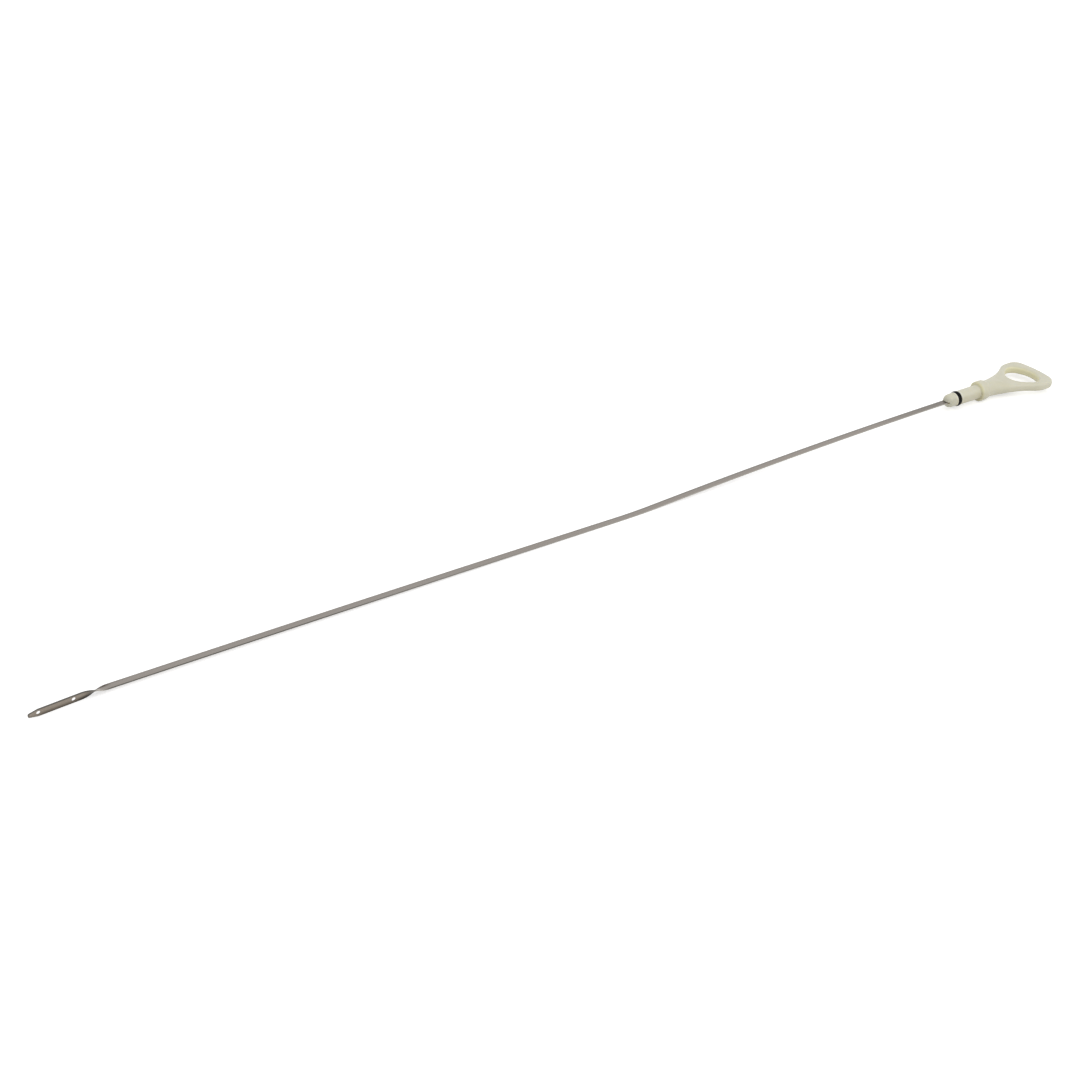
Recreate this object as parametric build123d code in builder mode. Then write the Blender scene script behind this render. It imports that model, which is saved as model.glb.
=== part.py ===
# Engine oil dipstick: a long flat steel strip with a twisted, drilled blade at its tip, moulded
# into a plastic handle with a finger loop, a collar and a sealing plug with a rubber ring.
#
# Millimetres and degrees. The origin is the centre of the collar's seat, on the plug's axis.
# +X runs to the finger loop, -X to the strip's tip, +Z is up. The dipstick lies as it comes to
# rest: on the rim of its collar, on the strip's bend and on the lower edge of its blade.
import os
from math import cos, hypot, radians, sin, sqrt, tan

from build123d import *

os.makedirs("parts", exist_ok=True)

# Plug and sealing ring
plug_diameter = 9.4
plug_length = 17.3
ring_section = 2.7
ring_proud = 0.25
ring_side_room = 0.15
ring_squeeze = 0.65

# Nose in front of the ring
flange_length = 1.3
flange_diameter = 9.2
nose_diameter = 8.9
nose_length = 7.0
slit_depth = 1.6
slit_room = 0.25

# Collar and neck
collar_diameter = 13.4
collar_length = 5.4
collar_taper = 2.2
seat_edge_chamfer = 0.9
neck_diameter = 11.4
neck_root_length = 1.2
neck_tuck = 1.2
neck_sink = 0.3
neck_stations = 3

# Finger loop
loop_reach = 56.8
loop_width = 37.4
loop_thickness = 5.5
loop_drop = 0.6
loop_edge_radius = 2.0
shoulder_reach = 41.5
shoulder_radius = 12.0
neck_flare_angle = 17.5
arm_flare_angle = 33.0
flare_radius = 40.0
end_corner_radius = 7.5
end_bow_radius = 75.0
end_bar_width = 6.8
opening_root = 31.3
opening_root_radius = 11.0
opening_side_angle = 36.0
opening_corner_radius = 5.5
opening_bow_radius = 18.0
opening_edge_chamfer = 1.2

# Steel strip
strip_width = 4.3
strip_thickness = 0.7
tang_length = 16.0
key_hole_diameter = 2.0
bend_reach = 285.0
bend_radius = 420.0

# Twist and blade
blade_reach = 617.2
blade_length = 27.9
blade_turn = 4.2
twist_length = 14.0
twist_angle = 84.0
twist_stations = 8
taper_length = 5.4
tip_width = 2.0
tip_radius = 0.8
mark_hole_diameter = 2.2
mark_spacing = 18.6

# Plug, ring groove and nose, from the collar's seat towards the tip
plug_radius = plug_diameter / 2
collar_radius = collar_diameter / 2
neck_radius = neck_diameter / 2
ring_centre_radius = plug_radius + ring_proud - ring_section / 2
groove_radius = ring_centre_radius - ring_section / 2 + ring_squeeze
groove_width = ring_section + 2 * ring_side_room
ring_x = -plug_length - groove_width / 2
flange_back = -plug_length - groove_width
flange_front = flange_back - flange_length
nose_tip = flange_front - nose_length
nose_radius = nose_diameter / 2
dome_start = nose_tip + nose_radius
collar_back = collar_length + collar_taper
neck_start = collar_back + neck_root_length

# Each side of the handle flares in two straight steps, along the neck and then along the arm
neck_slope = tan(radians(neck_flare_angle))
arm_slope = tan(radians(arm_flare_angle))
flare_start = Vector(collar_back, neck_radius - neck_tuck)
shoulder = Vector(shoulder_reach, loop_width / 2)
flare_run = (shoulder.Y - flare_start.Y - (shoulder.X - flare_start.X) * arm_slope) / (neck_slope - arm_slope)
flare_knee = flare_start + Vector(1, neck_slope) * flare_run
end_corner = Vector(loop_reach - end_bow_radius + sqrt(end_bow_radius**2 - shoulder.Y**2), shoulder.Y)

# The opening is a triangle with rounded corners and a bowed end. Its sides meet on the axis.
side_cos = cos(radians(opening_side_angle))
side_sin = sin(radians(opening_side_angle))
opening_apex = opening_root + opening_root_radius - opening_root_radius / side_sin
opening_end = loop_reach - end_bar_width
bow_offset = opening_end - opening_bow_radius - opening_apex
opening_side = bow_offset * side_cos + sqrt(opening_bow_radius**2 - (bow_offset * side_sin) ** 2)
opening_corner = Vector(opening_apex + opening_side * side_cos, opening_side * side_sin)

# The strip at rest is level at the nose, comes down to its bend on the floor, and is level again
# where the blade stands on its edge. Both spans are arcs that meet the bend's arc smoothly.
floor_z = -collar_radius
blade_z = floor_z + hypot(strip_width, strip_thickness) / 2
bend_centre = Vector(-bend_reach, 0, floor_z + strip_thickness / 2 + bend_radius)
twist_start = Vector(twist_length - blade_reach, 0, blade_z)
nose_exit = Vector(nose_tip, 0, 0)


def bend_meets(level_point):
    run = level_point.X - bend_centre.X
    rise = level_point.Z - bend_centre.Z + bend_radius
    radii = (run**2 + rise**2) / (2 * rise)
    level_centre = level_point - Vector(0, 0, radii - bend_radius)
    return bend_centre + (level_centre - bend_centre) * (bend_radius / radii)


def ease(share):
    return 3 * share**2 - 2 * share**3


def twist_plane(share):
    # Section plane along the twist, which stands the strip on edge and turns it a little to -Y
    turn = radians(blade_turn) * share
    roll = radians(twist_angle) * ease(share)
    run = twist_length * share
    place = twist_start - Vector(cos(turn / 2), sin(turn / 2), 0) * run
    across = Vector(sin(turn), -cos(turn), 0) * cos(roll) + Vector(0, 0, sin(roll))
    return Plane(place, x_dir=across, z_dir=(-cos(turn), -sin(turn), 0))


with BuildPart() as gauge_strip:
    with BuildLine(Plane.XZ):
        Line(Vector(tang_length, 0, 0), nose_exit)
        TangentArc(nose_exit, bend_meets(nose_exit), tangent=(-1, 0))
        RadiusArc(bend_meets(nose_exit), bend_meets(twist_start), bend_radius)
        TangentArc(twist_start, bend_meets(twist_start), tangent=(1, 0))
    with BuildSketch(Plane((tang_length, 0, 0), x_dir=(0, -1, 0), z_dir=(-1, 0, 0))):
        Rectangle(strip_width, strip_thickness)
    sweep()
    for station in range(twist_stations + 1):
        with BuildSketch(twist_plane(station / twist_stations)):
            Rectangle(strip_width, strip_thickness)
    loft()
    # Blade with its taper, rounded tip and two level marks
    twist_end = twist_plane(1)
    taper_start = blade_length - taper_length
    with BuildSketch(Plane(twist_end.origin, twist_end.z_dir, twist_end.z_dir.cross(twist_end.x_dir))) as blade:
        with BuildLine():
            Polyline(
                (0, 0),
                (0, strip_width / 2),
                (taper_start, strip_width / 2),
                (blade_length, tip_width / 2),
                (blade_length, 0),
            )
            mirror(about=Plane.XZ)
        make_face()
        fillet(blade.vertices().group_by(Axis.X)[-1].filter_by(lambda corner: corner.Y != 0), tip_radius)
        with Locations((taper_start, 0), (taper_start - mark_spacing, 0)):
            Circle(mark_hole_diameter / 2, mode=Mode.SUBTRACT)
    extrude(amount=strip_thickness / 2, both=True)
    # Hole in the hidden tang, which the handle's plastic fills
    with Locations((tang_length / 2, 0, 0)):
        Cylinder(key_hole_diameter / 2, 2 * strip_thickness, mode=Mode.SUBTRACT)

gauge_strip.part.label = "gauge_strip"
export_step(gauge_strip.part, "parts/gauge_strip.step")

with BuildPart() as handle:
    # Flat finger loop with rounded edges, a little below the plug's axis
    with BuildSketch(Plane.XY.offset(-loop_drop)) as plan:
        with BuildLine():
            Polyline((collar_back, 0), flare_start, flare_knee, shoulder, end_corner)
            mirror(about=Plane.XZ)
            ThreePointArc(end_corner, (loop_reach, 0), (end_corner.X, -end_corner.Y))
        make_face()
        fillet(plan.vertices().group_by(Axis.X)[-1], end_corner_radius)
        fillet(plan.vertices().group_by(Axis.X)[2], shoulder_radius)
        fillet(plan.vertices().group_by(Axis.X)[1], flare_radius)
    extrude(amount=loop_thickness / 2, both=True)
    flat_faces = handle.faces().filter_by(Axis.Z)
    fillet(flat_faces.edges().filter_by_position(Axis.X, neck_start, loop_reach), loop_edge_radius)
    # Opening for a finger, with its edges eased
    with BuildSketch(Plane.XY.offset(-loop_drop)) as opening:
        with BuildLine():
            Line((opening_apex, 0), opening_corner)
            mirror(about=Plane.XZ)
            ThreePointArc(opening_corner, (opening_end, 0), (opening_corner.X, -opening_corner.Y))
        make_face()
        fillet(opening.vertices().group_by(Axis.X)[0], opening_root_radius)
        fillet(opening.vertices().group_by(Axis.X)[-1], opening_corner_radius)
    extrude(amount=loop_thickness / 2, both=True, mode=Mode.SUBTRACT)
    opening_edges = handle.edges(Select.LAST).group_by(Axis.Z)
    chamfer(opening_edges[0] + opening_edges[-1], opening_edge_chamfer)

    # Neck that fades from the collar's round root into the flat of the loop
    neck_length = opening_root - loop_edge_radius - neck_start
    neck_end_width = flare_start.Y + neck_slope * (neck_start + neck_length - flare_start.X) - neck_tuck
    neck_end_height = loop_thickness / 2 - neck_sink
    for station in range(neck_stations + 1):
        share = station / neck_stations
        half_width = neck_radius + (neck_end_width - neck_radius) * share
        half_height = neck_radius + (neck_end_height - neck_radius) * ease(share)
        with BuildSketch(Plane.YZ.offset(neck_start + neck_length * share)):
            with Locations((0, -loop_drop * ease(share))):
                Ellipse(half_width, half_height)
    loft()
    # Nose, ring flange, ring groove, plug, collar and neck root, all round the plug's axis
    with BuildSketch(Plane.XZ):
        with BuildLine():
            CenterArc((dome_start, 0), nose_radius, start_angle=90, arc_size=90)
            Polyline(
                (dome_start, nose_radius),
                (flange_front, nose_radius),
                (flange_front, flange_diameter / 2),
                (flange_back, flange_diameter / 2),
                (flange_back, groove_radius),
                (-plug_length, groove_radius),
                (-plug_length, plug_radius),
                (0, plug_radius),
                (0, collar_radius - seat_edge_chamfer),
                (seat_edge_chamfer, collar_radius),
                (collar_length, collar_radius),
                (collar_back, neck_radius),
                (neck_start, neck_radius),
                (neck_start, 0),
                (nose_tip, 0),
            )
        make_face()
    revolve(axis=Axis.X)
    # Slit across the nose, and the bed of the strip's tang
    with Locations((nose_tip, 0, 0)):
        Box(2 * slit_depth, nose_diameter, strip_thickness + 2 * slit_room, mode=Mode.SUBTRACT)
    add(gauge_strip.part, mode=Mode.SUBTRACT)

handle.part.label = "handle"
export_step(handle.part, "parts/handle.step")

with BuildPart() as o_ring:
    with BuildSketch(Plane.XZ):
        with Locations((ring_x, ring_centre_radius)):
            Circle(ring_section / 2)
        with Locations((ring_x, groove_radius)):
            Rectangle(ring_section, ring_section, align=(Align.CENTER, Align.MIN), mode=Mode.INTERSECT)
    revolve(axis=Axis.X)

o_ring.part.label = "o_ring"
export_step(o_ring.part, "parts/o_ring.step")
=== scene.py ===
import bmesh
import bpy
import numpy as np
from mathutils import Matrix, Vector


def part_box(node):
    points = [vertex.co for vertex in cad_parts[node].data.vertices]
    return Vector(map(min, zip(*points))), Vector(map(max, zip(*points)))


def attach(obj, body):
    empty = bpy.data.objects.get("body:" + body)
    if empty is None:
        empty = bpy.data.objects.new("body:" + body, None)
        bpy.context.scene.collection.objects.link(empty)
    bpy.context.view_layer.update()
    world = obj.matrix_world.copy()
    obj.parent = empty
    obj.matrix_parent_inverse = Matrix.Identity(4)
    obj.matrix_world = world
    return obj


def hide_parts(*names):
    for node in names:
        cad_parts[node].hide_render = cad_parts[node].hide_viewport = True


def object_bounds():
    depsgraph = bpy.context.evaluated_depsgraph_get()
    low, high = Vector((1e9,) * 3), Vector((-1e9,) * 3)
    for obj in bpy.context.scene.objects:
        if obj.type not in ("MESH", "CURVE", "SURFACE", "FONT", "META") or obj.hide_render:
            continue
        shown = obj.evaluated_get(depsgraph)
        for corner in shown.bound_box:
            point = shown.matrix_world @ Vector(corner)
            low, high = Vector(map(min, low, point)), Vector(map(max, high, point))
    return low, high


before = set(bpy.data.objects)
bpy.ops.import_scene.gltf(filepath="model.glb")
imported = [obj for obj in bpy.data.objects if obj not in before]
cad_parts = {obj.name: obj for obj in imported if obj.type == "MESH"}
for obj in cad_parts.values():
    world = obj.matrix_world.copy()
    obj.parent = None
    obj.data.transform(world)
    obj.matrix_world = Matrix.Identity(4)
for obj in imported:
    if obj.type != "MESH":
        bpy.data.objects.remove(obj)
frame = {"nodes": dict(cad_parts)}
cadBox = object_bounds()
mm = 0.001
weldReach = 0.002 * mm                                            # closer points are one
print("frame:", ", ".join(frame["nodes"]))


# helpers for shapes

def boxOf(node):
    return [np.array(corner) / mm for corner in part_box(node)]


def ease(share):
    # smooth step from 0 to 1: 3 s^2 - 2 s^3
    share = np.clip(share, 0, 1)
    return share * share * (3 - 2 * share)


def arcPoints(centre, radius, start, end, steps):
    # points of a circle's arc, evenly spaced in angle (degrees)
    angle = np.radians(np.linspace(start, end, steps + 1))
    return np.column_stack([centre[0] + radius * np.cos(angle), centre[1] + radius * np.sin(angle)])


def roundedLine(corners, radii, steps=8):
    # a line through corners, each inner corner replaced by the arc of its radius that touches both sides
    corners = np.array(corners, float)
    parts = [corners[:1]]
    for before, corner, after, radius in zip(corners[:-2], corners[1:-1], corners[2:], radii):
        back = (before - corner) / np.linalg.norm(before - corner)
        ahead = (after - corner) / np.linalg.norm(after - corner)
        half = np.arccos(np.clip(back @ ahead, -1, 1)) / 2
        centre = corner + (back + ahead) / np.linalg.norm(back + ahead) * radius / np.sin(half)
        first = corner + back * radius / np.tan(half) - centre
        last = corner + ahead * radius / np.tan(half) - centre
        turn = np.pi - 2 * half
        share = np.linspace(0, 1, steps + 1)[:, None]
        blend = np.sin((1 - share) * turn) * first + np.sin(share * turn) * last
        parts.append(centre + blend / np.sin(turn))
    parts.append(corners[-1:])
    return np.concatenate(parts)


def runAlong(line):
    # length along a line up to each of its points
    return np.concatenate([[0], np.cumsum(np.linalg.norm(np.diff(line, axis=0), axis=1))])


def pointsAt(line, at):
    # points of a line at some lengths along it
    run = runAlong(line)
    return np.column_stack([np.interp(at, run, column) for column in line.T])


def spread(line, count):
    # count points along a line, evenly spaced by length
    return pointsAt(line, np.linspace(0, runAlong(line)[-1], count))


def refine(line, step):
    # a line with points added, so that none lie much further apart than the step
    run = runAlong(line)
    added = np.arange(0, run[-1], step)
    added = added[np.abs(added[:, None] - run).min(1) > step / 4]
    return pointsAt(line, np.sort(np.concatenate([run, added])))


def distanceTo(points, line):
    # distance of each point from the nearest straight piece of a line
    start, step = line[:-1], np.diff(line, axis=0)
    away = points[..., None, :] - start
    share = np.clip((away * step).sum(-1) / (step * step).sum(-1), 0, 1)
    return np.sqrt((((away - share[..., None] * step) ** 2).sum(-1)).min(-1))


def gridQuads(rows, columns, first):
    # four-sided faces between neighbouring rows and columns of a grid of points
    index = first + np.arange(rows * columns).reshape(rows, columns)
    return np.stack([index[:-1, :-1], index[1:, :-1], index[1:, 1:], index[:-1, 1:]], -1).reshape(-1, 4)


def meshFrom(name, grids, sharpAngle, uvGrids=None, masks=None):
    # joins grids of points (millimetres) into one smooth mesh, welded, with its faces turned outwards
    # masks holds a grid of numbers for each grid of points, under the name of the attribute that it fills
    counts = np.cumsum([0] + [grid.shape[0] * grid.shape[1] for grid in grids])
    points = np.concatenate([grid.reshape(-1, 3) for grid in grids]) * mm
    quads = np.concatenate([gridQuads(*grid.shape[:2], first) for grid, first in zip(grids, counts)])
    mesh = bpy.data.meshes.new(name)
    mesh.from_pydata(points.tolist(), [], quads.tolist())
    if uvGrids is not None:
        uv = np.concatenate([grid.reshape(-1, 2) for grid in uvGrids])
        layer = mesh.uv_layers.new(name="alongAcross")
        layer.data.foreach_set("uv", uv[quads.ravel()].astype(np.float32).ravel())
    for mask, values in (masks or {}).items():
        share = np.concatenate([grid.ravel() for grid in values]).astype(np.float32)
        mesh.attributes.new(mask, "FLOAT", "POINT").data.foreach_set("value", share)
    work = bmesh.new()
    work.from_mesh(mesh)
    bmesh.ops.remove_doubles(work, verts=work.verts, dist=weldReach)
    bmesh.ops.dissolve_degenerate(work, edges=work.edges, dist=weldReach / 2)
    bmesh.ops.recalc_face_normals(work, faces=work.faces)
    work.to_mesh(mesh)
    work.free()
    mesh.polygons.foreach_set("use_smooth", np.ones(len(mesh.polygons), bool))
    mesh.set_sharp_from_angle(angle=np.radians(sharpAngle))
    piece = bpy.data.objects.new(name, mesh)
    bpy.context.scene.collection.objects.link(piece)
    return piece


# handle: one moulding from the notched nose to the finger loop

handleHigh = boxOf("handle")[1]
handleShape = {
    "noseRadius": 4.45, "noseLength": 7.0,                        # dome where the strip comes out
    "slitDepth": 1.6, "slitHalf": 0.6,                            # notch across the dome
    "flangeRadius": 4.6, "flangeLength": 1.3,                     # thin ring in front of the seal
    "grooveRadius": 2.9, "grooveLength": 3.0,                     # bed of the seal
    "plugRadius": 4.7, "plugLength": 17.3,
    "turnedRounds": (0.05, 0.07, 0.3, 0.1, 0.1, 0.3, 0.25),       # corners from the nose to the seat
    "collarLength": 5.4, "collarTaper": 2.2, "seatRim": 1.2, "collarSoftness": 4.0,
    "neckRadius": 5.7, "neckStart": 8.8, "neckFlat": 28.5,        # round root, then flat from here on
    "neckFlare": 17.5, "armFlare": 33.0,                          # degrees of each side's two steps
    "neckTuck": 1.2, "shoulderReach": 41.5, "shoulderRadius": 12.0, "flareRadius": 40.0, "rootRadius": 14.0,
    "halfThickness": 2.75, "edgeRound": 2.3, "edgePower": 2.6,    # rounded edge of the loop's section
    "endCorner": 7.5, "endBow": 75.0, "endBar": 6.8,
    "openingRoot": 31.3, "openingRootRadius": 11.0, "openingSide": 36.0,
    "openingCorner": 5.5, "openingBow": 18.0,
    "loopStart": 26.0, "loopCentre": 41.0, "loopDrop": 0.6,       # the loop sits below the plug's axis
    "seatReach": 0.9, "seatStep": 0.4, "rimHighlightReach": 0.5, "rimHighlightDepth": 0.1,      # painted shade at the seat, painted highlight on the rims
    # depth and fade of the dirt and painted shade in the groove
    "grooveDirtShadeDepth": 0.5, "grooveDirtShadeFade": 0.4, "grooveSlack": 0.01,
    "flareSteps": 24, "cornerSteps": 40, "openingSteps": 30,      # fineness of the mesh
    "ringPoints": 30, "cheekSteps": 16, "turnedStep": 0.5, "nosePoints": 26, "slitPoints": 12,
    "neckPoints": 32, "rimPoints": 110, "holePoints": 1500, "acrossPoints": 40, "sharpAngle": 40,
}


def noseTip(s):
    return -s["plugLength"] - s["grooveLength"] - s["flangeLength"] - s["noseLength"]


def flatness(x, s):
    # 0 at the neck's round root, 1 where the loop is flat
    return ease((x - s["neckStart"]) / (s["neckFlat"] - s["neckStart"]))


def turnedOutline(s):
    # radius against x from the dome to the neck's root, corners eased
    flangeBack = -s["plugLength"] - s["grooveLength"]
    flangeFront = flangeBack - s["flangeLength"]
    collarBack = s["collarLength"] + s["collarTaper"]
    return roundedLine(
        [
            (noseTip(s) + s["noseRadius"], s["noseRadius"]),
            (flangeFront, s["noseRadius"]),
            (flangeFront, s["flangeRadius"]),
            (flangeBack, s["flangeRadius"]),
            (flangeBack, s["grooveRadius"]),
            (-s["plugLength"], s["grooveRadius"]),
            (-s["plugLength"], s["plugRadius"]),
            (0, s["plugRadius"]),
            (0, handleHigh[2]),
            (s["collarLength"], handleHigh[2]),
            (collarBack, s["neckRadius"]),
            (s["neckStart"], s["neckRadius"]),
        ],
        [*s["turnedRounds"], s["seatRim"], s["collarSoftness"], s["collarSoftness"] / 2],
    )


def outerOutline(s):
    # half outline of the neck and loop in plan: straight steps with rounded corners, then the bowed end
    neckSlope, armSlope = np.tan(np.radians([s["neckFlare"], s["armFlare"]]))
    collarBack = s["collarLength"] + s["collarTaper"]
    start = np.array([collarBack, s["neckRadius"] - s["neckTuck"]])
    shoulder = np.array([s["shoulderReach"], handleHigh[1]])
    run = (shoulder[1] - start[1] - (shoulder[0] - start[0]) * armSlope) / (neckSlope - armSlope)
    knee = start + run * np.array([1, neckSlope])
    leave = (s["neckRadius"] - start[1]) / neckSlope + start[0]
    bowCentre = np.array([handleHigh[0] - s["endBow"], 0])
    cornerY = shoulder[1] - s["endCorner"]
    cornerX = bowCentre[0] + np.sqrt((s["endBow"] - s["endCorner"]) ** 2 - cornerY**2)
    cornerAngle = np.degrees(np.arctan2(cornerY, cornerX - bowCentre[0]))
    sides = roundedLine(
        [(0, s["neckRadius"]), (leave, s["neckRadius"]), knee, shoulder, (cornerX, shoulder[1])],
        [s["rootRadius"], s["flareRadius"], s["shoulderRadius"]],
        steps=s["flareSteps"],
    )
    corner = arcPoints((cornerX, cornerY), s["endCorner"], 90, cornerAngle, s["cornerSteps"])
    bow = arcPoints(bowCentre, s["endBow"], cornerAngle, 0, s["flareSteps"])
    return np.concatenate([sides[:-1], corner[:-1], bow])


def openingOutline(s):
    # half outline of the finger hole: root arc, straight side, corner arc, bowed end
    sideCos, sideSin = np.cos(np.radians(s["openingSide"])), np.sin(np.radians(s["openingSide"]))
    rootX = s["openingRoot"] + s["openingRootRadius"]
    apex = rootX - s["openingRootRadius"] / sideSin
    bowX = handleHigh[0] - s["endBar"] - s["openingBow"]
    inset = np.array([apex + s["openingCorner"] * sideSin - bowX, -s["openingCorner"] * sideCos])
    along = np.array([sideCos, sideSin])
    ahead = inset @ along
    reach = np.sqrt(ahead**2 - inset @ inset + (s["openingBow"] - s["openingCorner"]) ** 2) - ahead
    corner = inset + reach * along + [bowX, 0]
    cornerAngle = np.degrees(np.arctan2(corner[1], corner[0] - bowX))
    sideAngle = 90 + s["openingSide"]
    root = arcPoints((rootX, 0), s["openingRootRadius"], 180, sideAngle, s["openingSteps"])
    bend = arcPoints(corner, s["openingCorner"], sideAngle, cornerAngle, s["cornerSteps"])
    bow = arcPoints((bowX, 0), s["openingBow"], cornerAngle, 0, s["openingSteps"])
    return np.concatenate([root, bend[:-1], bow])


def halfHeight(points, outer, opening, s):
    # half thickness of the neck and loop above a point in plan: the middle height H, brought down to
    # zero over a rounded band along both outlines, H (1-(1-e)^p)^(1/p), e = distance / band width
    flat = flatness(points[..., 0], s)
    height = s["neckRadius"] + (s["halfThickness"] - s["neckRadius"]) * flat
    width = np.interp(points[..., 0], outer[:, 0], outer[:, 1])
    power = 2 + (s["edgePower"] - 2) * flat
    for line, band in ((outer, width + (s["edgeRound"] - width) * flat), (opening, s["edgeRound"])):
        share = 1 - np.clip(distanceTo(points, line) / band, 0, 1)
        height = height * (1 - share**power) ** (1 / power)
    return height


def slitCorner(s):
    # the dome's tilt at the slit's floor, and the angle about the axis of the slit's edge there
    tilt = np.arcsin(1 - s["slitDepth"] / s["noseRadius"])
    return tilt, np.arcsin(s["slitHalf"] / (s["noseRadius"] * np.cos(tilt)))


def turnedGrid(s, ring):
    # circles of the outline's radius, from the slit's floor to the neck's root
    start = 90 + np.degrees(slitCorner(s)[0])
    cheek = arcPoints((noseTip(s) + s["noseRadius"], 0), s["noseRadius"], start, 90, s["cheekSteps"])[:-1]
    outline = np.concatenate([cheek, refine(turnedOutline(s), s["turnedStep"])])
    x, radius = outline[:, :1], outline[:, 1:]
    return np.stack([x + 0 * ring, radius * np.cos(ring), radius * np.sin(ring)], -1)


def flatGrids(s, ring, outer, opening):
    # neck: y = W(x) cos(angle), height from the plan distance
    neckX = np.linspace(s["neckStart"], s["loopStart"], s["neckPoints"])[:, None]
    neckPlan = np.stack([neckX + 0 * ring, np.interp(neckX, *outer.T) * np.cos(ring)], -1)
    # loop: straight rays from the outer outline to the opening, closer together near both edges
    loopSide = np.concatenate([neckPlan[-1:, 0], outer[outer[:, 0] >= s["loopStart"]]])
    rim = np.concatenate([neckPlan[-1, :0:-1], spread(loopSide, s["rimPoints"])])
    centre = np.array([s["loopCentre"], 0])
    fine = spread(opening, s["holePoints"]) - centre
    fineAngle = np.arctan2(fine[:, 1], fine[:, 0])[::-1]
    rimAngle = np.arctan2(rim[:, 1], rim[:, 0] - centre[0])
    hole = np.interp(rimAngle, fineAngle, np.hypot(*fine.T)[::-1])[:, None]
    holeRim = centre + hole * np.column_stack([np.cos(rimAngle), np.sin(rimAngle)])
    holeRim[[0, -1]] = opening[[0, -1]]
    across = (1 - np.cos(np.linspace(0, np.pi, s["acrossPoints"]))) / 2
    loopPlan = rim[:, None] + across[:, None] * (holeRim - rim)[:, None]
    heights = [halfHeight(plan, outer, opening, s)[..., None] for plan in (neckPlan, loopPlan)]
    neck, loop = np.concatenate([neckPlan, heights[0]], -1), np.concatenate([loopPlan, heights[1]], -1)
    # both outlines lie in the middle plane, and the loop starts on the neck's last points
    neck[:, 0, 2] = 0
    loop[len(ring) - 1:, 0, 2] = 0
    loop[:, -1, 2] = 0
    loop[:len(ring), 0] = neck[-1, ::-1]
    return neck, loop


def noseGrids(s, ring):
    # a dome by its tilt t, x = tip + R (1 - sin t), radius R cos t, cut off level above the slit,
    # then the slit's wall and its floor
    startTilt, slitAngle = slitCorner(s)
    endTilt = np.arccos(s["slitHalf"] / s["noseRadius"])
    tilt = np.linspace(startTilt, endTilt, s["nosePoints"])[:, None]
    radius = s["noseRadius"] * np.cos(tilt)
    x = noseTip(s) + s["noseRadius"] * (1 - np.sin(tilt))
    edge = np.arcsin(np.clip(s["slitHalf"] / radius, -1, 1))
    angle = edge + (np.pi / 2 - edge) * (ring[2:] - slitAngle) / (np.pi / 2 - slitAngle)
    dome = np.stack([x + 0 * angle, radius * np.cos(angle), radius * np.sin(angle)], -1)
    shares = np.linspace(1, 0, s["slitPoints"])
    wall = np.stack([x + 0 * shares, radius * np.cos(edge) * shares, s["slitHalf"] + 0 * x * shares], -1)
    level = ring[:3, None]
    floorAcross, floorUp = radius[0] * np.cos(level), radius[0] * np.sin(level)
    floor = np.stack([x[0] + 0 * level * shares, floorAcross * shares, floorUp + 0 * shares], -1)
    return dome, wall, floor


def plugMarks(s, turned):
    along, radial = turned[..., 0], np.hypot(turned[..., 1], turned[..., 2])
    # painted shade in the seat's corner: a bell curve along x, outside the plug
    seatShade = np.exp(-((along / s["seatReach"]) ** 2)) * ease((radial - s["plugRadius"]) / s["seatStep"])
    # dirt and painted shade in the seal's groove, below the plug's surface
    grooveEnd = -s["plugLength"] - s["grooveLength"]
    inGroove = (along < -s["plugLength"] + s["grooveSlack"]) * (along > grooveEnd - s["grooveSlack"])
    grooveDirtAndShade = inGroove * (1 - ease((radial - s["flangeRadius"] + s["grooveDirtShadeDepth"]) / s["grooveDirtShadeFade"]))
    # painted highlight on the rims on both sides of the seal: bell curves along x, on the outer surface only
    rims = (-s["plugLength"] + s["rimHighlightReach"], grooveEnd - s["rimHighlightReach"])
    bells = sum(np.exp(-(((along - middle) / s["rimHighlightReach"]) ** 2)) for middle in rims)
    rimHighlight = bells * (radial > s["noseRadius"] - s["rimHighlightDepth"])
    return {"seatShade": seatShade, "rimHighlight": rimHighlight, "grooveDirtAndShade": grooveDirtAndShade}


def buildHandle(s):
    # grids of one quarter, mirrored to both sides and downwards, then the loop is let down a little
    outer, opening = outerOutline(s), openingOutline(s)
    slitAngle = slitCorner(s)[1]
    ring = np.concatenate([[0, slitAngle / 2], np.linspace(slitAngle, np.pi / 2, s["ringPoints"])])
    turned = turnedGrid(s, ring)
    neck, loop = flatGrids(s, ring, outer, opening)
    neck[0] = turned[-1]
    dome, wall, floor = noseGrids(s, ring)
    quarter = [turned, neck, loop, dome, wall, floor]
    # masks: on the turned part painted shade in the seat's corner, a painted highlight on the rims beside the
    # seal and dirt with painted shade in the groove; painted yellow bounce light in the finger hole and the
    # slit
    clean = [np.zeros(part.shape[:2]) for part in quarter]
    masks = {name: [mark, *clean[1:]] for name, mark in plugMarks(s, turned).items()}
    inHole = [1 - ease(2 * distanceTo(part[..., :2], opening) / s["edgeRound"]) for part in (neck, loop)]
    inSlit = [np.ones(part.shape[:2]) for part in (wall, floor)]
    masks["recessBounce"] = [clean[0], *inHole, clean[3], *inSlit]

    mirrors = [(1, side, up) for side in (1, -1) for up in (1, -1)]
    whole = [part * mirror for mirror in mirrors for part in quarter]
    masks = {name: len(mirrors) * grids for name, grids in masks.items()}
    for part in whole:
        part[..., 2] -= s["loopDrop"] * flatness(part[..., 0], s)
    return meshFrom("finger_handle", whole, s["sharpAngle"], masks=masks)


handle = buildHandle(handleShape)
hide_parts("handle")
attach(handle, "root")
print("handle:", len(handle.data.polygons), "faces")


# gauge strip: flat steel carried along its resting curve, twisted on edge at the blade

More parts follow.
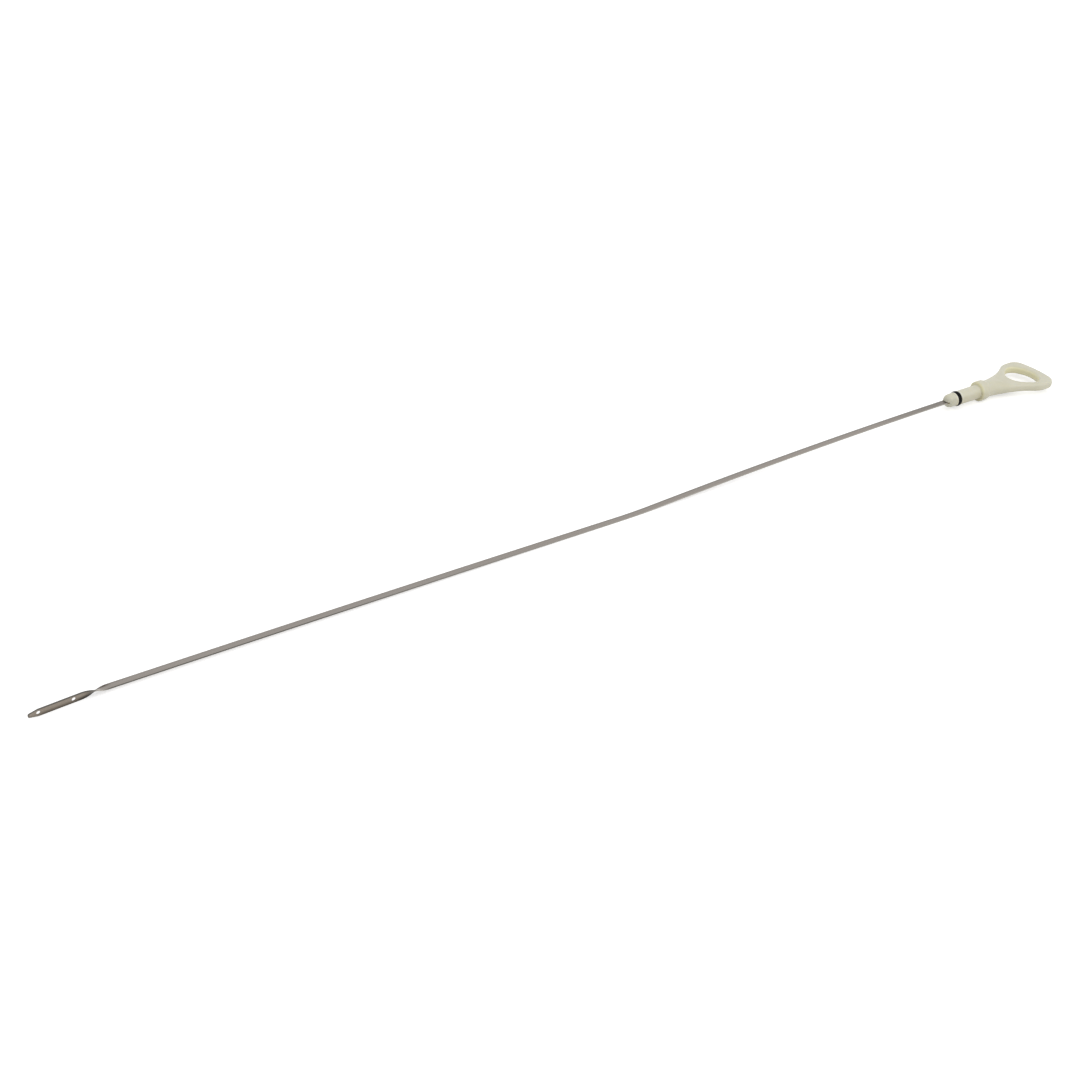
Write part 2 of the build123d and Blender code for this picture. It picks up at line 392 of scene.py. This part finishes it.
stripLow, stripHigh = boxOf("gauge_strip")
stripShape = {
    "width": 4.3, "thickness": 0.7, "edgeBevel": 0.09, "bevelSteps": 2, "bevelAngle": 50,
    "bendReach": 285.0, "bendRadius": 420.0, "bendSpan": 100.0,   # shallow bend that rests on the floor
    "twistStart": -603.2, "twistLength": 14.0, "twistAngle": 84.0, "bladeTurn": 4.2,
    "bladeLength": 27.9, "taperLength": 5.4, "tipWidth": 2.0, "tipRadius": 0.8,
    "holeRadius": 1.1, "holeSpacing": 18.6,                       # the two level marks
    "runPoints": 180, "twistPoints": 40, "rootPoints": 4, "middlePoints": 14,     # fineness of the sheet
    "holeSteps": 7, "patchPoints": 5, "tipSteps": 10, "sharpAngle": 35,
}


def stripPlace(run, s):
    # centre and direction across at a length measured from the tang's end to the tip:
    # z(x) is an arc from level at the nose, the bend's arc and an arc to level at the twist,
    # and over the twist the strip rolls by ease(share)
    noseX, tangX, floorZ = noseTip(handleShape), stripHigh[0], stripLow[2]
    bladeZ = floorZ + np.hypot(s["width"], s["thickness"]) / 2
    bendX, bendZ = -s["bendReach"], floorZ + s["thickness"] / 2 + s["bendRadius"]
    x = np.maximum(tangX - run, s["twistStart"])
    z = bendZ - np.sqrt(s["bendRadius"] ** 2 - np.clip(x - bendX, -s["bendSpan"], s["bendSpan"]) ** 2)
    for levelX, levelZ, side in ((noseX, 0.0, 1), (s["twistStart"], bladeZ, -1)):
        rise = levelZ - bendZ + s["bendRadius"]
        radii = ((levelX - bendX) ** 2 + rise**2) / (2 * rise)
        meetX = bendX + (levelX - bendX) * s["bendRadius"] / radii
        bow = radii - s["bendRadius"]
        arc = levelZ - bow + np.sqrt(bow**2 - np.clip(x - levelX, -bow, bow) ** 2)
        z = np.where((x - meetX) * side > 0, arc, z)
    z = np.where(x > noseX, 0.0, z)
    past = x - (tangX - run)
    share = np.clip(past / s["twistLength"], 0, 1)
    turn = np.radians(s["bladeTurn"]) * share
    roll = np.radians(s["twistAngle"]) * ease(share)
    inTwist = np.minimum(past, s["twistLength"])
    beyond = past - inTwist
    place = np.stack(
        [
            x - inTwist * np.cos(turn / 2) - beyond * np.cos(turn),
            -inTwist * np.sin(turn / 2) - beyond * np.sin(turn),
            z,
        ],
        -1,
    )
    across = np.stack([np.sin(turn) * np.cos(roll), -np.cos(turn) * np.cos(roll), np.sin(roll)], -1)
    return place, across


def tipOutline(s):
    # half width against length near the tip, with the tip's corners rounded
    tipRun = stripHigh[0] - s["twistStart"] + s["twistLength"] + s["bladeLength"]
    corners = [(tipRun - s["taperLength"], s["width"] / 2), (tipRun, s["tipWidth"] / 2), (tipRun, 0)]
    return roundedLine(corners, [s["tipRadius"]], s["tipSteps"])[:-1]


def stripPlans(s, tip):
    # grids of length and offset from the middle line: the stretches between the holes, then a patch
    # round each hole
    half = s["width"] / 2
    twistRun = stripHigh[0] - s["twistStart"]
    bladeRun = twistRun + s["twistLength"]
    holes = [tip[0, 0] - s["holeSpacing"], tip[0, 0]]
    flatRun = np.linspace(0, twistRun, s["runPoints"])[:-1]
    runs = [
        np.concatenate([flatRun, np.linspace(twistRun, bladeRun, s["twistPoints"])]),
        np.linspace(bladeRun, holes[0] - half, s["rootPoints"]),
        np.linspace(holes[0] + half, holes[1] - half, s["middlePoints"]),
    ]
    stretches = [np.column_stack([run, np.full(len(run), half)]) for run in runs]
    pastHole = holes[1] + half
    stretches.append(np.concatenate([[(pastHole, np.interp(pastHole, *tip.T))], tip[tip[:, 0] > pastHole]]))
    # lines across the strip lie where a square's side is met by even angles, to join the patches
    lines = np.tan(np.linspace(-np.pi / 4, np.pi / 4, 2 * s["holeSteps"] + 1))
    plans = [np.stack([stretch[:, :1] + 0 * lines, stretch[:, 1:] * lines], -1) for stretch in stretches]
    # patches: straight lines from the hole's circle to the square round it
    turns = np.linspace(0, 2 * np.pi, 8 * s["holeSteps"] + 1)
    circle = np.column_stack([np.cos(turns), np.sin(turns)])
    square = half * circle / np.abs(circle).max(1)[:, None]
    share = np.linspace(0, 1, s["patchPoints"])[:, None, None]
    for hole in holes:
        outside = square + [hole, 0]
        outside[:, 1] *= np.interp(outside[:, 0], *tip.T) / half
        inside = s["holeRadius"] * circle + [hole, 0]
        plans.append(outside + share * (inside - outside))
    return plans


def buildStrip(s):
    tip = tipOutline(s)
    sheets, marks = [], []
    for plan in stripPlans(s, tip):
        run, offset = plan[..., 0], plan[..., 1]
        place, across = stripPlace(run, s)
        sheets.append(place + across * offset[..., None])
        marks.append(np.stack([run / tip[-1, 0], 0.5 + offset / np.interp(run, *tip.T) / 2], -1))
    strip = meshFrom("steel_strip", sheets, s["sharpAngle"], marks)
    shell = strip.modifiers.new("thickness", "SOLIDIFY")
    shell.thickness, shell.offset, shell.use_even_offset = s["thickness"] * mm, 0, True
    bevel = strip.modifiers.new("eased edges", "BEVEL")
    bevel.width, bevel.segments = s["edgeBevel"] * mm, s["bevelSteps"]
    bevel.limit_method, bevel.angle_limit = "ANGLE", np.radians(s["bevelAngle"])
    return strip


strip = buildStrip(stripShape)
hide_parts("gauge_strip")
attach(strip, "root")
print("strip:", len(strip.data.polygons), "faces")


# sealing ring: a ring of squared section that fills the plug's groove

ringLow, ringHigh = boxOf("o_ring")
ringShape = {
    "sideRoom": 0.02, "squareness": 2.8, "proud": 0.06,           # pressed out to the groove's sides
    "aroundPoints": 97, "sectionPoints": 49, "sharpAngle": 60,
}


def buildRing(s):
    # squared circle turned round the plug's axis: along and out are signed powers 2/p of sine and cosine
    section = (ringHigh[0] - ringLow[0]) / 2
    halfWidth = handleShape["grooveLength"] / 2 - s["sideRoom"]
    centre = ringHigh[2] - section
    around = np.linspace(0, 2 * np.pi, s["aroundPoints"])[:, None]
    about = np.linspace(0, 2 * np.pi, s["sectionPoints"])
    waves = np.sin(about), np.cos(about)
    along, out = (np.sign(wave) * np.abs(wave) ** (2 / s["squareness"]) for wave in waves)
    radius = centre + (section + s["proud"]) * out
    x = (ringHigh[0] + ringLow[0]) / 2 + halfWidth * along
    skin = np.stack([x + 0 * around, radius * np.cos(around), radius * np.sin(around)], -1)
    return meshFrom("sealing_ring", [skin], s["sharpAngle"])


sealRing = buildRing(ringShape)
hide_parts("o_ring")
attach(sealRing, "root")
print("ring:", len(sealRing.data.polygons), "faces")


# materials

def srgb(red, green, blue):
    # written colour (0-255) to linear light
    value = np.array([red, green, blue]) / 255
    linear = np.where(value <= 0.04045, value / 12.92, ((value + 0.055) / 1.055) ** 2.4)
    return (*linear.tolist(), 1.0)


def newMaterial(name):
    made = bpy.data.materials.new(name)
    made.use_nodes = True
    return made, made.node_tree.nodes, made.node_tree.links, made.node_tree.nodes["Principled BSDF"]


def buildGrain():
    # fine speckle and a broad cloud of tone, for moulded and rolled surfaces alike
    group = bpy.data.node_groups.new("surfaceGrain", "ShaderNodeTree")
    group.interface.new_socket("Vector", in_out="INPUT", socket_type="NodeSocketVector")
    for name in ("Fine Scale", "Broad Scale"):
        group.interface.new_socket(name, in_out="INPUT", socket_type="NodeSocketFloat")
    for name in ("Fine", "Broad"):
        group.interface.new_socket(name, in_out="OUTPUT", socket_type="NodeSocketFloat")
    nodes, links = group.nodes, group.links
    inside, outside = nodes.new("NodeGroupInput"), nodes.new("NodeGroupOutput")
    for name, detail in (("Fine", 3.0), ("Broad", 4.0)):
        noise = nodes.new("ShaderNodeTexNoise")
        noise.inputs["Detail"].default_value = detail
        noise.inputs["Roughness"].default_value = 0.6
        links.new(inside.outputs["Vector"], noise.inputs["Vector"])
        links.new(inside.outputs[name + " Scale"], noise.inputs["Scale"])
        links.new(noise.outputs["Fac"], outside.inputs[name])
    return group


surfaceGrain = buildGrain()


def addGrain(nodes, links, vector, fineScale, broadScale):
    grain = nodes.new("ShaderNodeGroup")
    grain.node_tree = surfaceGrain
    grain.inputs["Fine Scale"].default_value = fineScale
    grain.inputs["Broad Scale"].default_value = broadScale
    links.new(vector, grain.inputs["Vector"])
    return grain.outputs["Fine"], grain.outputs["Broad"]


def mapRange(nodes, links, value, fromMin, fromMax, toMin, toMax):
    # straight line from toMin at fromMin to toMax at fromMax, level beyond both
    node = nodes.new("ShaderNodeMapRange")
    for name, number in (("From Min", fromMin), ("From Max", fromMax), ("To Min", toMin), ("To Max", toMax)):
        node.inputs[name].default_value = number
    links.new(value, node.inputs["Value"])
    return node.outputs["Result"]


def mixColour(nodes, links, share, first, second):
    # share, first and second are sockets or plain values
    node = nodes.new("ShaderNodeMix")
    node.data_type = "RGBA"
    for socket, value in ((node.inputs[0], share), (node.inputs[6], first), (node.inputs[7], second)):
        if isinstance(value, bpy.types.NodeSocket):
            links.new(value, socket)
        else:
            socket.default_value = value
    return node.outputs[2]


def product(nodes, links, first, second):
    node = nodes.new("ShaderNodeMath")
    node.operation = "MULTIPLY"
    links.new(first, node.inputs[0])
    links.new(second, node.inputs[1])
    return node.outputs[0]


def addBump(nodes, links, height, strength, distance, shader):
    bump = nodes.new("ShaderNodeBump")
    bump.inputs["Strength"].default_value = strength
    bump.inputs["Distance"].default_value = distance
    links.new(height, bump.inputs["Height"])
    links.new(bump.outputs["Normal"], shader.inputs["Normal"])


# a range of four numbers is two values of a pattern or a place (metres) and the result at each
plasticLook = {
    "pale": (211, 208, 189), "yellowed": (201, 196, 167), "cloud": (0.3, 0.75, 0.0, 0.55),
    "bounceYellow": (234, 229, 191), "seatShade": (214, 209, 172),             # painted yellow bounce light in the recesses, painted shade in the seat's corner
    "rimHighlight": (231, 229, 216), "patchy": (0.35, 0.6, 0.45, 1.0),  # painted highlight on the rims beside the seal, and how patchy it is
    # dirt and painted shade in the seal's groove
    "grooveDirtAndShade": (44, 42, 37),
    # painted shade on the lower sides by height, and the stretch of x where the plug's gives way to the
    # loop's
    "underShade": (188, 181, 152), "seatEnds": (0.0, 0.006),
    "plugUnderShade": (0.0012, 0.0027, 0.5, 0.0), "loopUnderShade": (0.0, 0.0014, 0.2, 0.0),
    # oil film as far as the flange; thinner at the top and at the foot, which is painted light there
    "oiled": (180, 178, 160), "noseEnd": (-0.0223, -0.0217), "mottle": (0.35, 0.65, 0.35, 0.95),
    "noseTop": (0.0020, 0.0040, 1.0, 0.1), "noseFoot": (-0.0035, -0.0005, 0.3, 1.0),
    "speckle": (0.3, 0.7, 0.0, 0.12), "roughness": (0.3, 0.7, 0.32, 0.45), "gloss": 0.6,
    "glow": 0.15, "glowColour": (1.0, 0.8, 0.5), "glowReach": 0.0015,         # light that sinks in
    "fineScale": 1500.0, "broadScale": 70.0, "grainStrength": 0.25, "grainDepth": 0.00002,
}


def ivoryPlastic(look):
    made, nodes, links, shader = newMaterial("ivoryPlastic")
    place = nodes.new("ShaderNodeTexCoord").outputs["Object"]
    fine, broad = addGrain(nodes, links, place, look["fineScale"], look["broadScale"])
    share = mapRange(nodes, links, broad, *look["cloud"])
    tone = mixColour(nodes, links, share, srgb(*look["pale"]), srgb(*look["yellowed"]))
    # masks that the mesh carries: painted yellow bounce light in the recesses, painted shade in the seat's
    # corner, a painted highlight on the rims and dirt with painted shade in the groove
    patchy = mapRange(nodes, links, fine, *look["patchy"])
    for mask, colour in (("recessBounce", "bounceYellow"), ("seatShade", "seatShade"), ("rimHighlight", "rimHighlight"), ("grooveDirtAndShade", "grooveDirtAndShade")):
        carried = nodes.new("ShaderNodeAttribute")
        carried.attribute_name = mask
        share = carried.outputs["Fac"]
        # the painted highlight is broken into patches
        if mask == "rimHighlight":
            share = product(nodes, links, share, patchy)
        tone = mixColour(nodes, links, share, tone, srgb(*look[colour]))
    # painted shade: lower sides a little dark and yellow, more so on the plug
    axes = nodes.new("ShaderNodeSeparateXYZ")
    links.new(place, axes.inputs["Vector"])
    behindNose = mapRange(nodes, links, axes.outputs["X"], *look["noseEnd"], 0.0, 1.0)
    for zone, side in (("plugUnderShade", (1.0, 0.0)), ("loopUnderShade", (0.0, 1.0))):
        low = mapRange(nodes, links, axes.outputs["Z"], *look[zone])
        here = mapRange(nodes, links, axes.outputs["X"], *look["seatEnds"], *side)
        share = product(nodes, links, product(nodes, links, low, here), behindNose)
        tone = mixColour(nodes, links, share, tone, srgb(*look["underShade"]))
    # oil film on the nose, mottled; thinner at the top and at the foot, which is painted light there
    oilFilmAndLight = mapRange(nodes, links, fine, *look["mottle"])
    onNose = mapRange(nodes, links, axes.outputs["X"], *look["noseEnd"], 1.0, 0.0)
    belowTop = mapRange(nodes, links, axes.outputs["Z"], *look["noseTop"])
    aboveFoot = mapRange(nodes, links, axes.outputs["Z"], *look["noseFoot"])
    for part in (onNose, belowTop, aboveFoot):
        oilFilmAndLight = product(nodes, links, oilFilmAndLight, part)
    speckle = mapRange(nodes, links, fine, *look["speckle"])
    for share in (oilFilmAndLight, speckle):
        tone = mixColour(nodes, links, share, tone, srgb(*look["oiled"]))
    links.new(tone, shader.inputs["Base Color"])
    links.new(mapRange(nodes, links, broad, *look["roughness"]), shader.inputs["Roughness"])
    shader.inputs["Subsurface Weight"].default_value = look["glow"]
    shader.inputs["Subsurface Radius"].default_value = look["glowColour"]
    shader.inputs["Subsurface Scale"].default_value = look["glowReach"]
    shader.inputs["Specular IOR Level"].default_value = look["gloss"]
    addBump(nodes, links, fine, look["grainStrength"], look["grainDepth"], shader)
    return made


handle.data.materials.append(ivoryPlastic(plasticLook))

# shares of the strip's length where the twist starts, is seen on edge and ends
twistStart, onEdge, twistEnd = 0.937, 0.946, 0.956
# a range is a pattern, two of its values and the share at each, and a layer is a colour with its ranges
# where the painted shade after the twist starts, and the scratches that break it up
twistShadeStart = ("along", onEdge - 0.004, onEdge + 0.001, 0.0, 1.0)
twistShadeBreaks = ("scratch", 0.35, 0.6, 0.75, 1.0)
steelLook = {
    # the darker line colour, the blade's own tone, its foot, its upper edge, the twist's dark colour and the
    # edges' dark tip colour are painted shade; the edges' bright colour at the twist is a painted highlight
    "light": (161, 156, 151), "dark": (141, 136, 131), "warm": (162, 149, 138), "line": (120, 116, 110),
    "rust": (84, 74, 65), "blade": (152, 143, 132), "bladeDark": (127, 118, 108), "bladeLine": (104, 99, 93),
    "foot": (84, 76, 68), "stain": (46, 42, 38),
    "edge": (158, 153, 146), "edgeTip": (96, 93, 88), "edgeTwist": (168, 163, 156),
    "lineStretch": (6.0, 60.0, 1.0), "lineScales": (1.0, 0.35),
    "scratchStretch": (260.0, 22.0, 1.0), "scratchScales": (2.2, 0.3), "scratchSlant": 0.6,
    "roughness": ("patches", 0.3, 0.7, 0.3, 0.46), "lineStrength": 0.15, "lineDepth": 0.00003,
    "onBlade": ("along", onEdge - 0.006, onEdge + 0.001, 0.0, 1.0),
    "atEdge": ("fromMiddle", 0.47, 0.498, 0.0, 1.0),
    # rolled lines and warm patches, painted shade along one side and at the handle, rust before the twist
    "rolledLayers": [
        ("dark", ("lines", 0.35, 0.65, 0.0, 1.0)),
        ("warm", ("patches", 0.45, 0.6, 0.0, 0.5)),
        ("line", ("across", 0.08, 0.36, 0.85, 0.0), ("along", 0.25, 0.6, 1.0, 0.4)),
        ("line", ("along", 0.08, 0.16, 0.6, 0.0)),
        ("rust", ("across", 0.08, 0.2, 1.0, 0.0),
         ("along", twistStart - 0.018, twistStart, 0.0, 1.0)),
        ("rust", ("across", 0.2, 0.55, 1.0, 0.0),
         ("along", twistStart - 0.004, twistStart + 0.002, 0.0, 1.0)),
    ],
    # blade in a darker, warmer tone that is painted shade for the face turned on edge, with painted shade at
    # the foot, along its upper edge and after the twist
    "bladeLayers": [
        ("bladeDark", ("scratch", 0.35, 0.65, 0.0, 1.0)),
        ("foot", ("across", 0.05, 0.55, 1.0, 0.0), ("along", 0.988, 0.994, 1.0, 0.4)),
        ("bladeLine", ("across", 0.86, 0.94, 0.0, 1.0), ("along", 0.991, 0.994, 1.0, 0.3)),
        ("stain", ("across", 0.15, 0.55, 1.0, 0.0),
         ("along", twistEnd, twistEnd + 0.008, 1.0, 0.0), twistShadeStart, twistShadeBreaks),
        ("stain", ("across", 0.7, 1.0, 1.0, 0.0),
         ("along", onEdge + 0.001, onEdge + 0.010, 1.0, 0.0), twistShadeStart, twistShadeBreaks),
    ],
    # sheared edges: painted shade along one side; on the other bright towards the handle, with a painted
    # highlight at the twist, and painted shade towards the tip
    "edgeLayers": [
        ("edgeTip", ("along", 0.45, 0.75, 0.0, 1.0)),
        ("edgeTwist", ("along", twistStart - 0.001, twistStart + 0.005, 0.0, 1.0),
         ("along", onEdge - 0.002, onEdge + 0.001, 1.0, 0.0)),
        ("line", ("across", 0.4, 0.6, 0.85, 0.0), ("along", 0.45, 0.75, 1.0, 0.0)),
    ],
    # painted shade round the tip's end
    "tipLayers": [("edgeTip", ("along", 0.9985, 0.9997, 0.0, 0.8))],
}


def stripSteel(look):
    made, nodes, links, shader = newMaterial("stripSteel")
    sheet = nodes.new("ShaderNodeUVMap")
    sheet.uv_map = "alongAcross"
    parts = nodes.new("ShaderNodeSeparateXYZ")
    links.new(sheet.outputs["UV"], parts.inputs["Vector"])
    patterns = {"along": parts.outputs["X"], "across": parts.outputs["Y"]}

    def stretchedGrain(stretch, scales, slant):
        # grain on the sheet's own two directions, stretched along it and turned by the slant
        mapping = nodes.new("ShaderNodeMapping")
        mapping.inputs["Rotation"].default_value = (0, 0, slant)
        mapping.inputs["Scale"].default_value = stretch
        links.new(sheet.outputs["UV"], mapping.inputs["Vector"])
        return addGrain(nodes, links, mapping.outputs["Vector"], *scales)

    def shareOf(first, *others):
        # product of the shares that some ranges give
        share = mapRange(nodes, links, patterns[first[0]], *first[1:])
        for name, *ends in others:
            share = product(nodes, links, share, mapRange(nodes, links, patterns[name], *ends))
        return share

    def layered(tone, layers):
        # lays each colour over the tone, by the share of its ranges
        for colour, *ranges in layers:
            tone = mixColour(nodes, links, shareOf(*ranges), tone, srgb(*look[colour]))
        return tone

    patterns["lines"], patterns["patches"] = stretchedGrain(look["lineStretch"], look["lineScales"], 0)
    scratch, _ = stretchedGrain(look["scratchStretch"], look["scratchScales"], look["scratchSlant"])
    patterns["scratch"] = scratch
    # distance from the middle line, 0.5 at both edges
    offset = nodes.new("ShaderNodeMath")
    offset.operation = "SUBTRACT"
    offset.inputs[1].default_value = 0.5
    links.new(patterns["across"], offset.inputs[0])
    fromMiddle = nodes.new("ShaderNodeMath")
    fromMiddle.operation = "ABSOLUTE"
    links.new(offset.outputs[0], fromMiddle.inputs[0])
    patterns["fromMiddle"] = fromMiddle.outputs[0]

    rolled = layered(srgb(*look["light"]), look["rolledLayers"])
    # the blade's darker tone and its layers are painted shade
    bladeTone = layered(srgb(*look["blade"]), look["bladeLayers"])
    rim = layered(srgb(*look["edge"]), look["edgeLayers"])
    tone = mixColour(nodes, links, shareOf(look["onBlade"]), rolled, bladeTone)
    tone = mixColour(nodes, links, shareOf(look["atEdge"]), tone, rim)
    links.new(layered(tone, look["tipLayers"]), shader.inputs["Base Color"])
    shader.inputs["Metallic"].default_value = 1.0
    links.new(shareOf(look["roughness"]), shader.inputs["Roughness"])
    addBump(nodes, links, patterns["lines"], look["lineStrength"], look["lineDepth"], shader)
    return made


strip.data.materials.append(stripSteel(steelLook))

rubberLook = {
    "black": (8, 8, 8), "worn": (18, 18, 17), "wear": (0.4, 0.75, 0.0, 1.0),
    "roughness": (0.3, 0.7, 0.4, 0.55), "gloss": 0.1,
    "fineScale": 3000.0, "broadScale": 240.0, "grainStrength": 0.2, "grainDepth": 0.00002,
}


def blackRubber(look):
    made, nodes, links, shader = newMaterial("blackRubber")
    place = nodes.new("ShaderNodeTexCoord").outputs["Object"]
    fine, broad = addGrain(nodes, links, place, look["fineScale"], look["broadScale"])
    share = mapRange(nodes, links, broad, *look["wear"])
    tone = mixColour(nodes, links, share, srgb(*look["black"]), srgb(*look["worn"]))
    links.new(tone, shader.inputs["Base Color"])
    links.new(mapRange(nodes, links, broad, *look["roughness"]), shader.inputs["Roughness"])
    shader.inputs["Specular IOR Level"].default_value = look["gloss"]
    addBump(nodes, links, fine, look["grainStrength"], look["grainDepth"], shader)
    return made


sealRing.data.materials.append(blackRubber(rubberLook))
print("materials:", ", ".join(material.name for material in bpy.data.materials if material.users))


# floor, light and camera

stageLook = {
    "floorSize": 12.0, "floorColour": (226, 226, 226), "floorLift": 0.5, "skyStrength": 0.84,
    "lampSize": 1.2, "lampHeight": 1.5, "lampPower": 9.5, "lampShift": (0.3, -1.5),
}


def backgroundRays(nodes, links):
    # 1 for rays from the camera and for rays that a glossy or clear surface sends on
    path = nodes.new("ShaderNodeLightPath")
    share = path.outputs["Is Camera Ray"]
    for name in ("Is Glossy Ray", "Is Transmission Ray"):
        larger = nodes.new("ShaderNodeMath")
        larger.operation = "MAXIMUM"
        links.new(share, larger.inputs[0])
        links.new(path.outputs[name], larger.inputs[1])
        share = larger.outputs[0]
    return share


def buildStage(look):
    half = look["floorSize"] / 2
    middle = np.mean([tuple(corner) for corner in cadBox], axis=0)
    corners = np.array([(-half, -half), (half, -half), (half, half), (-half, half)]) + middle[:2]
    mesh = bpy.data.meshes.new("floor")
    mesh.from_pydata([(*corner, cadBox[0].z) for corner in corners], [], [(0, 1, 2, 3)])
    floor = bpy.data.objects.new("floor", mesh)
    bpy.context.scene.collection.objects.link(floor)
    made, nodes, links, shader = newMaterial("paleFloor")
    shader.inputs["Base Color"].default_value = srgb(*look["floorColour"])
    shader.inputs["Roughness"].default_value = 1.0
    shader.inputs["Specular IOR Level"].default_value = 0.0
    shader.inputs["Emission Color"].default_value = (1, 1, 1, 1)
    lift = mapRange(nodes, links, backgroundRays(nodes, links), 0, 1, 0, look["floorLift"])
    links.new(lift, shader.inputs["Emission Strength"])
    mesh.materials.append(made)

    world = bpy.data.worlds.new("studio")
    world.use_nodes = True
    bpy.context.scene.world = world
    nodes, links = world.node_tree.nodes, world.node_tree.links
    sky = nodes["Background"]
    sky.inputs["Color"].default_value = (1, 1, 1, 1)
    strength = mapRange(nodes, links, backgroundRays(nodes, links), 0, 1, look["skyStrength"], 1.0)
    links.new(strength, sky.inputs["Strength"])

    lamp = bpy.data.lights.new("softbox", "AREA")
    lamp.shape, lamp.size, lamp.energy = "SQUARE", look["lampSize"], look["lampPower"]
    holder = bpy.data.objects.new("softbox", lamp)
    holder.location = (middle[0] + look["lampShift"][0], middle[1] + look["lampShift"][1], look["lampHeight"])
    aim = Vector(middle) - holder.location
    holder.rotation_euler = aim.to_track_quat("-Z", "Y").to_euler()
    bpy.context.scene.collection.objects.link(holder)


buildStage(stageLook)

viewFrom = {
    "target": (-0.34389, 0.00028, -0.00287), "azimuth": -32.846, "elevation": 31.048,
    "distance": 0.99752, "roll": 0.06, "focalPixels": 1743.9, "imagePixels": 1080, "sensor": 36.0,
    "clip": (0.01, 50.0),
}


def buildCamera(look):
    around, up = np.radians([look["azimuth"], look["elevation"]])
    back = Vector((np.sin(around) * np.cos(up), -np.cos(around) * np.cos(up), np.sin(up)))
    right = Vector((0, 0, 1)).cross(back).normalized()
    level = Matrix((right, back.cross(right), back)).transposed().to_4x4()
    turn = level @ Matrix.Rotation(np.radians(look["roll"]), 4, "Z")
    data = bpy.data.cameras.new("photoView")
    data.sensor_width = look["sensor"]
    data.lens = look["sensor"] * look["focalPixels"] / look["imagePixels"]
    data.clip_start, data.clip_end = look["clip"]
    camera = bpy.data.objects.new("photoView", data)
    camera.matrix_world = Matrix.Translation(Vector(look["target"]) + back * look["distance"]) @ turn
    bpy.context.scene.collection.objects.link(camera)
    bpy.context.scene.camera = camera


buildCamera(viewFrom)
bpy.context.scene.view_settings.view_transform = "Standard"
print("stage, light and camera are set")
